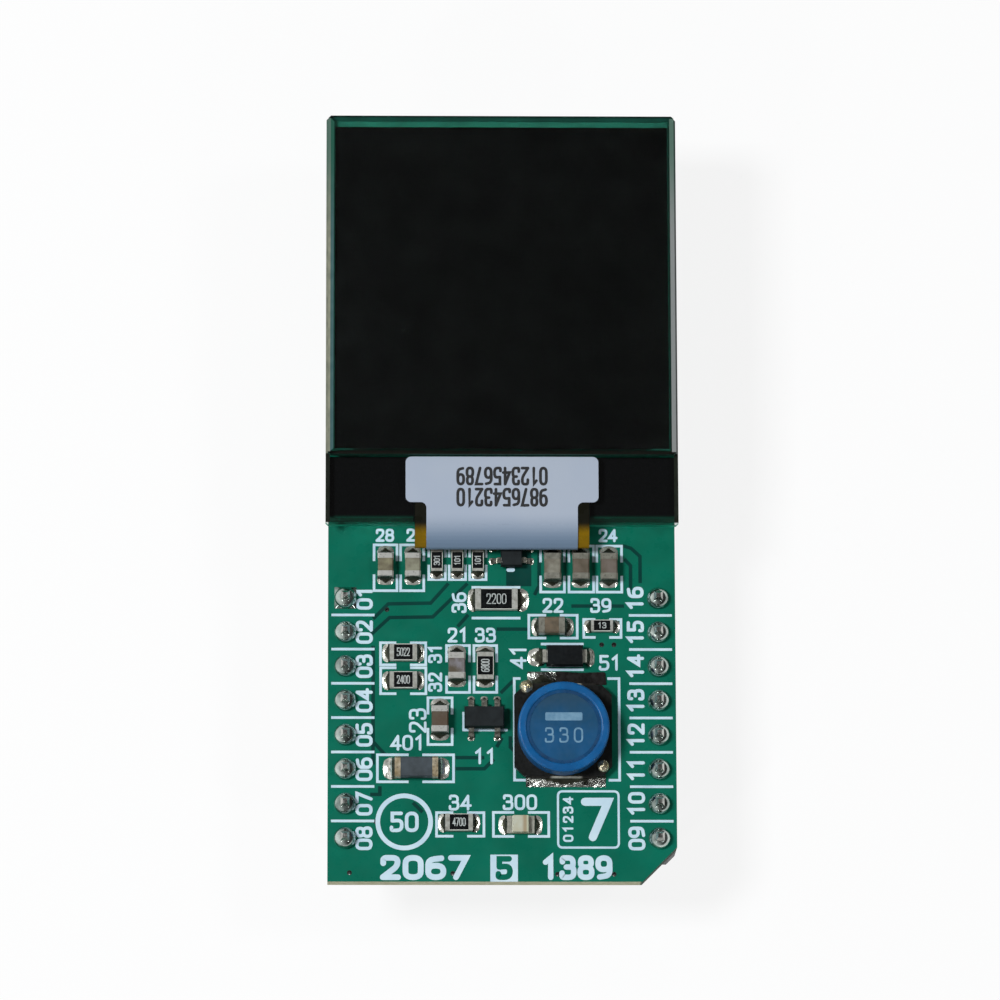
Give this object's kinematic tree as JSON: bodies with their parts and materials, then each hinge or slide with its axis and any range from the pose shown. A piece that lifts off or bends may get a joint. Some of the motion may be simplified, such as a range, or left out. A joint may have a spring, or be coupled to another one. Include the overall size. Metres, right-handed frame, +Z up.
{
  "type": "small oled display module",
  "caption": "Small plug-in display board: flat glass panel folded onto a green board with a boost converter and a row of header pins down each side.",
  "frame": {"origin": "midway between the two rows of pins, on the plane where the header strips seat on a socket", "axes": "+X across the board to the side with the cut corner, +Y along it to the display end, +Z up out of the board's component side"},
  "size_m": [0.0258, 0.0572, 0.013],
  "materials": {
    "circuit_board": "glass-fibre laminate under a satin green solder mask",
    "header_plastic": "moulded black plastic",
    "pin_metal": "bright plated",
    "solder": "bright solder",
    "foam": "matt closed-cell foam tape",
    "panel_glass": "polished thin glass",
    "panel_layer": "dark thin-film layer",
    "seal": "cured resin",
    "polarizer": "glossy black film",
    "flex_film": "amber film with a smooth face",
    "driver_chip": "bare polished chip",
    "cover_label": "matt bluish white label",
    "terminal_metal": "satin tin plate",
    "inductor_base": "moulded black plastic",
    "inductor_core": "ferrite with a dull blue coat",
    "enamelled_wire": "enamelled copper",
    "inductor_shield": "ferrite with a blue coat",
    "moulded_package": "black moulding compound",
    "led_base": "white laminate",
    "led_lens": "milky clear resin",
    "bead_ferrite": "dark grey ferrite",
    "capacitor_ceramic": "satin tan-grey ceramic",
    "resistor_ceramic": "white alumina",
    "resistor_coat": "black glaze"
  },
  "bodies": {
    "root": {"circuit_board": "circuit_board", "left_header_strip": "header_plastic", "right_header_strip": "header_plastic", "left_header_pins": "pin_metal", "right_header_pins": "pin_metal", "left_pin_solder": "solder", "right_pin_solder": "solder", "display_foam_pad": "foam", "ledge_foam_strips": "foam", "display_rear_glass": "panel_glass", "display_panel_layer": "panel_layer", "display_seal": "seal", "display_front_glass": "panel_glass", "display_polarizer": "polarizer", "display_flex": "flex_film", "display_driver_chip": "driver_chip", "display_cover_label": "cover_label", "flex_solder_fingers": "solder", "inductor_base": "inductor_base", "inductor_clips": "terminal_metal", "inductor_core": "inductor_core", "inductor_winding": "enamelled_wire", "inductor_shield": "inductor_shield", "regulator_body": "moulded_package", "regulator_leads": "terminal_metal", "load_switch_body": "moulded_package", "load_switch_leads": "terminal_metal", "diode_body": "moulded_package", "diode_leads": "terminal_metal", "led_base": "led_base", "led_terminals": "terminal_metal", "led_lens": "led_lens", "bead_body": "bead_ferrite", "bead_terminals": "terminal_metal", "capacitor_1": "capacitor_ceramic", "capacitor_2": "capacitor_ceramic", "capacitor_3": "capacitor_ceramic", "capacitor_4": "capacitor_ceramic", "capacitor_5": "capacitor_ceramic", "capacitor_6": "capacitor_ceramic", "capacitor_7": "capacitor_ceramic", "capacitor_8": "capacitor_ceramic", "capacitor_terminals": "terminal_metal", "resistor_1": "resistor_ceramic", "resistor_2": "resistor_ceramic", "resistor_3": "resistor_ceramic", "resistor_4": "resistor_ceramic", "resistor_5": "resistor_ceramic", "resistor_6": "resistor_ceramic", "resistor_7": "resistor_ceramic", "resistor_8": "resistor_ceramic", "resistor_9": "resistor_ceramic", "resistor_terminals": "terminal_metal", "resistor_coats": "resistor_coat", "component_solder": "solder"}
  },
  "joints": []
}
